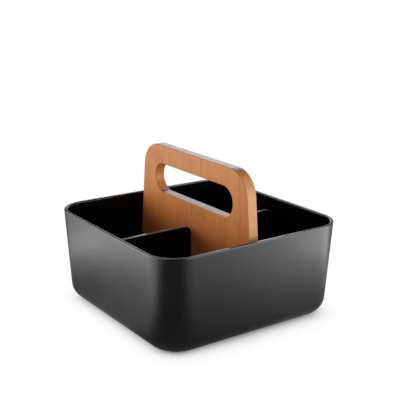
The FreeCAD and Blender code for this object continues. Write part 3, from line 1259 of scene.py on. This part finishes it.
@dataclass
class Washer:
    """A flat washer, stamped with one soft edge."""

    finish: bpy.types.Material
    number: int
    x: float
    bore: float = 2.15
    radius: float = 5.0
    bottom: float = 4.0
    top: float = 5.0
    soft: float = 0.22
    around: int = 48

    def build(self) -> None:
        """Make the washer: its section is a rectangle whose lower edges are rounded."""
        soft = self.soft
        section = np.concatenate([
            arc((self.bore + soft, self.bottom + soft), soft, 180, 270, 3),
            arc((self.radius - soft, self.bottom + soft), soft, -90, 0, 3),
            [(self.radius, self.top), (self.bore, self.top), (self.bore, self.bottom + soft)]])
        skin = Skin()
        add_turned(skin, section, self.x, 0.0, self.around)
        dress(skin.piece(f"flat_washer_{self.number}"), [self.finish], Body.CADDY,
              [f"screw_washer_{self.number}"])


@dataclass
class Foot:
    """A soft round foot with a rolled edge and a shallow dished sole."""

    finish: bpy.types.Material
    place: str
    x: float
    y: float
    radius: float = 6.0
    top: float = 2.2
    rounding: float = 0.5
    top_ease: float = 0.1
    sole: tuple = ((0.0, 0.22), (2.6, 0.2), (3.6, 0.08), (4.3, 0.0))
    around: int = 48

    def build(self) -> None:
        """Make the foot: its section turned about its own upright line."""
        section = np.concatenate([
            self.sole,
            arc((self.radius - self.rounding, self.rounding), self.rounding, -90, 0, 5),
            [(self.radius, self.top - self.top_ease), (self.radius - self.top_ease, self.top),
             (0.0, self.top)]])
        skin = Skin()
        add_turned(skin, section, self.x, self.y, self.around)
        dress(skin.piece(f"rubber_foot_{self.place}"), [self.finish], Body.CADDY,
              [f"foot_{self.place}"])


@dataclass
class Fixings:
    """The screws, washers and feet that the underside carries."""

    steel: ZincSteel = ZincSteel()
    rubber: FootRubber = FootRubber()

    def build(self) -> None:
        """Make every fixing."""
        steel = self.steel.material()
        rubber = self.rubber.material()
        for number, x in enumerate(SCREW_XS, start=1):
            Screw(steel, number, x).build()
            Washer(steel, number, x).build()
        for row, y in (("front", -FOOT_OUT), ("back", FOOT_OUT)):
            for end, x in (("left", -FOOT_OUT), ("right", FOOT_OUT)):
                Foot(rubber, f"{row}_{end}", x, y).build()


# The studio


def bearing(ahead: float, right: float, up: float) -> Vector:
    """The place that lies so far towards the camera's side, to its right and up."""
    x, y = CAMERA_SIDE
    return Vector((ahead * x - right * y, ahead * y + right * x, up))


def add_lamp(name: str, place: Vector, aim: Vector, size: tuple,
             radiance: float) -> bpy.types.Object:
    """Add a flat lamp that the camera doesn't see.

    Args:
        name: Its name.
        place: Its middle.
        aim: The direction it shines in.
        size: Its width and height in metres.
        radiance: Its brightness; its power is radiance * pi * area.

    Returns:
        The lamp's object.
    """
    lamp = bpy.data.lights.new(name, "AREA")
    lamp.shape = "RECTANGLE"
    lamp.size, lamp.size_y = size
    lamp.energy = radiance * math.pi * size[0] * size[1]
    thing = show(name, lamp)
    thing.location = place
    thing.rotation_euler = aim.to_track_quat("-Z", "Y").to_euler()
    thing.visible_camera = False
    return thing


@dataclass(frozen=True)
class Panel:
    """A soft box that stands on a ring about the caddy and shines at it."""

    name: str
    turn: float                  # its bearing, from the camera's side towards its right
    elevations: tuple
    width: float                 # in degrees round the ring
    radiance: float
    ring: float = 0.8

    def build(self) -> None:
        """Make the lamp on its ring."""
        low, high = map(math.radians, self.elevations)
        middle = (low + high) / 2
        turn = math.radians(self.turn)
        level = self.ring * math.cos(middle)
        place = bearing(level * math.cos(turn), level * math.sin(turn),
                        self.ring * math.sin(middle))
        size = (2 * level * math.tan(math.radians(self.width) / 2),
                2 * self.ring * math.tan((high - low) / 2))
        add_lamp(self.name, place, -place, size, self.radiance)


@dataclass(frozen=True)
class Card:
    """A bright card lying beside the caddy that only gloss sees."""

    name: str
    ahead: tuple
    right: tuple
    radiance: float
    height: float = 0.001

    def build(self) -> None:
        """Make the card, facing up from just over the floor."""
        place = bearing(sum(self.ahead) / 2, sum(self.right) / 2, self.height)
        size = (self.ahead[1] - self.ahead[0], self.right[1] - self.right[0])
        thing = add_lamp(self.name, place, Vector((0.0, 0.0, 1.0)), size, self.radiance)
        x, y = CAMERA_SIDE
        thing.rotation_euler.z += math.atan2(y, x)
        thing.visible_diffuse = False


@dataclass
class Studio:
    """A white floor and surround with soft boxes.

    Gloss sees floor and surround as a tent: white to the left and right, dim round the caddy's
    foot, and open and dark where the camera stands.
    """

    panels: tuple = (
        Panel("box_right", 66.0, (0.0, 25.0), 54.0, 4.3),
        Panel("box_left", 268.0, (0.0, 28.0), 52.0, 2.9),
        Panel("box_left_front", 313.0, (8.0, 20.0), 46.0, 4.0),
        Panel("box_back", 178.0, (20.0, 33.0), 22.0, 3.8),
        Panel("box_back_left", 194.0, (4.0, 26.0), 12.0, 0.6),
        Panel("box_back_high", 166.0, (31.0, 48.0), 16.0, 2.8),
        Panel("box_over_camera", 0.0, (50.0, 72.0), 90.0, 1.25),
    )
    cards: tuple = (
        Card("card_right", (-0.05, 0.11), (0.27, 0.78), 1.6),
        Card("card_left", (-0.10, 0.17), (-0.75, -0.24), 0.9),
    )
    floor_side: float = 6.0
    floor_tone: tuple = (0.80, 0.80, 0.80, 1.0)
    footprint: tuple = (0.0704, 0.014)   # out to a corner's centre along X and Y, and its radius
    contact: tuple = (                   # how far the plaster reaches, by bearing
        (-180, 0.012), (-60, 0.0105), (-12, 0.0105), (25, 0.0145), (60, 0.0140), (120, 0.012),
        (180, 0.012))
    contact_power: float = 1.5
    gloss_reach: tuple = (0.045, 0.17)
    gloss_low: float = 0.26
    foot_glow: tuple = (0.16, 0.03)      # its level and how far it reaches
    near_tent: tuple = (                 # the tent's white, by bearing
        (-180, 0.15), (-128, 0.18), (-112, 0.68), (-95, 0.81), (-75, 1.0), (-46, 1.0),
        (-33, 0.15), (-25, 0.05), (15, 0.05), (21, 0.22), (32, 0.29), (47, 0.43), (68, 0.96),
        (98, 1.0), (120, 0.2), (180, 0.15))
    far_tent: tuple = (
        (-180, 1.0), (-60, 1.0), (-44, 0.12), (-32, 0.05), (15, 0.05), (40, 0.15), (52, 0.40),
        (68, 1.0), (180, 1.0))
    far: tuple = (0.2, 0.7)
    horizon: tuple = (0.05, 0.17)
    ambient: float = 0.12
    sky: float = 0.05

    @staticmethod
    def _by_bearing(graph: Graph, levels: tuple) -> Term:
        """Look a level up by the bearing that the graph's place has from the caddy.

        The bearing is atan2(right, ahead), in degrees from the camera's side towards its right.

        Args:
            graph: Where the nodes go.
            levels: (bearing, level) from -180 to 180 degrees, with levels from 0 to 1.

        Returns:
            The level.
        """
        x, y, _ = graph.axes(graph.place)
        east, north = CAMERA_SIDE
        turn = graph.math("ARCTAN2", y * east - x * north, x * east + y * north)
        stops = [(angle / 360 + 0.5, level) for angle, level in levels]
        return graph.table(turn * (0.5 / math.pi) + 0.5, stops)

    @staticmethod
    def _gloss(graph: Graph) -> Term:
        """1 for glossy and transmission rays."""
        return graph.math("MAXIMUM", graph.ray("Is Glossy Ray"), graph.ray("Is Transmission Ray"))

    def _away(self, graph: Graph) -> Term:
        """How far the graph's place lies from the caddy's footprint: |max(|p| - c, 0)| - r.

        Args:
            graph: Where the nodes go.

        Returns:
            The distance in metres, and 0 under the caddy.
        """
        middle, radius = self.footprint
        x, y = (graph.math("MAXIMUM", abs(part) - middle)
                for part in graph.axes(graph.place)[:2])
        return graph.math("MAXIMUM", graph.math("SQRT", x * x + y * y) - radius)

    def floor(self) -> None:
        """Make the floor: lit plaster under the caddy's edge, passing to white further out.

        At a distance d from the footprint, the camera sees the plaster's share
        exp(-(d / contact) ** 1.5) and white for the rest. Gloss sees the tent's white, which
        rises from a low value over its own reach, and a faint glow at the caddy's foot.
        """
        half = self.floor_side / 2 / MM
        skin = Skin()
        u, v = np.array([(-half, -half), (half, -half), (half, half), (-half, half)]).T
        skin.add(on_xy(u, v, np.zeros(4)), np.array([[0, 1, 2, 3]]))
        thing = skin.piece("studio_floor")
        material = bpy.data.materials.new("studio_floor_white")
        graph = Graph(material)
        away = self._away(graph)
        lit = graph.node("ShaderNodeBsdfDiffuse", {"Color": self.floor_tone})
        near = away / self._by_bearing(graph, self.contact)
        plaster = graph.math("EXPONENT", near ** self.contact_power * -1.0)
        seen = graph.either(graph.ray("Is Camera Ray") * (1.0 - plaster), lit,
                            graph.light("ShaderNodeEmission", 1.0))
        rise = graph.ramp(away, *self.gloss_reach, self.gloss_low, 1.0)
        tent = self._by_bearing(graph, self.near_tent)
        level, reach = self.foot_glow
        glow = graph.math("EXPONENT", away / -reach) * ((1.0 - tent) * level)
        tent = graph.mix(graph.ramp(away, *self.far), rise * tent + glow,
                         self._by_bearing(graph, self.far_tent))
        graph.close("ShaderNodeOutputMaterial", graph.either(
            self._gloss(graph), seen, graph.light("ShaderNodeEmission", tent)))
        thing.data.materials.append(material)

    def surround(self) -> None:
        """Set the world: soft dim light, seen as white, and as the tent's white by gloss."""
        world = bpy.data.worlds.new("studio_surround")
        bpy.context.scene.world = world
        graph = Graph(world, "Generated")
        low = graph.ramp(graph.axes(graph.place)[2], *self.horizon, 1.0, self.sky)
        tent = self._by_bearing(graph, self.far_tent) * low
        dim, white, tent = (graph.light("ShaderNodeBackground", strength)
                            for strength in (self.ambient, 1.0, tent))
        graph.close("ShaderNodeOutputWorld", graph.either(
            graph.ray("Is Camera Ray"), graph.either(self._gloss(graph), dim, tent), white))

    def build(self) -> None:
        """Make the floor, the surround and the lamps, and set the plain view transform."""
        self.floor()
        self.surround()
        for lamp in self.panels + self.cards:
            lamp.build()
        bpy.context.scene.view_settings.view_transform = "Standard"
        LOG.info("studio: %d soft boxes and %d cards", len(self.panels), len(self.cards))


@dataclass(frozen=True)
class Camera:
    """The camera: azimuth from -Y towards +X, elevation, roll, distance and target."""

    azimuth: float = 54.928
    elevation: float = 16.002
    roll: float = 0.287
    distance: float = 0.85029
    target: tuple = (0.0023362, 0.0031107, 0.1103484)
    lens: float = 76.84
    sensor: float = 36.0
    clip: tuple = (0.01, 50.0)

    def build(self) -> None:
        """Place the camera at target + back * distance and make it the scene's."""
        a, e, r = map(math.radians, (self.azimuth, self.elevation, self.roll))
        back = Vector((math.sin(a) * math.cos(e), -math.cos(a) * math.cos(e), math.sin(e)))
        level = Vector((math.cos(a), math.sin(a), 0.0))
        raised = back.cross(level)
        right = level * math.cos(r) + raised * math.sin(r)
        up = raised * math.cos(r) - level * math.sin(r)
        data = bpy.data.cameras.new("studio_camera")
        data.lens, data.sensor_width = self.lens, self.sensor
        data.clip_start, data.clip_end = self.clip
        thing = show("studio_camera", data)
        turn = Matrix((right, up, back)).transposed().to_4x4()
        turn.translation = Vector(self.target) + back * self.distance
        thing.matrix_world = turn
        bpy.context.scene.camera = thing


def main() -> None:
    """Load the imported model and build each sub-assembly."""
    logging.basicConfig(level=logging.INFO, format="%(message)s")
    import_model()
    Camera().build()
    Studio().build()
    # The tray's inside: smoother plastic whose darker tones and much lower specular level are
    # painted shade for the dim hollow
    polished_painted_shade = MouldedPlastic(
        name="polished_black_plastic_painted_shade",
        tones=((0.0026, 0.0026, 0.0029, 1.0), (0.0042, 0.0042, 0.0045, 1.0)),
        roughness=(0.17, 0.23), specular=0.07, grain_strength=0.05)
    Tray(MouldedPlastic(), polished_painted_shade).build()
    HandleBoard(Bamboo()).build()
    # The dividers' edge: glossier plastic whose top band is painted light grey, a painted highlight
    glossy_edge_painted_highlight = DividerPlastic(name="glossy_black_plastic_painted_highlight", roughness=(0.14, 0.18),
                               specular=1.0, painted_highlight=(0.13, 0.13, 0.13, 1.0))
    smooth = [finish.material() for finish in (DividerPlastic(), glossy_edge_painted_highlight)]
    for side in Side:
        Divider(smooth, side).build()
    Fixings().build()


if __name__ == "__main__":
    main()
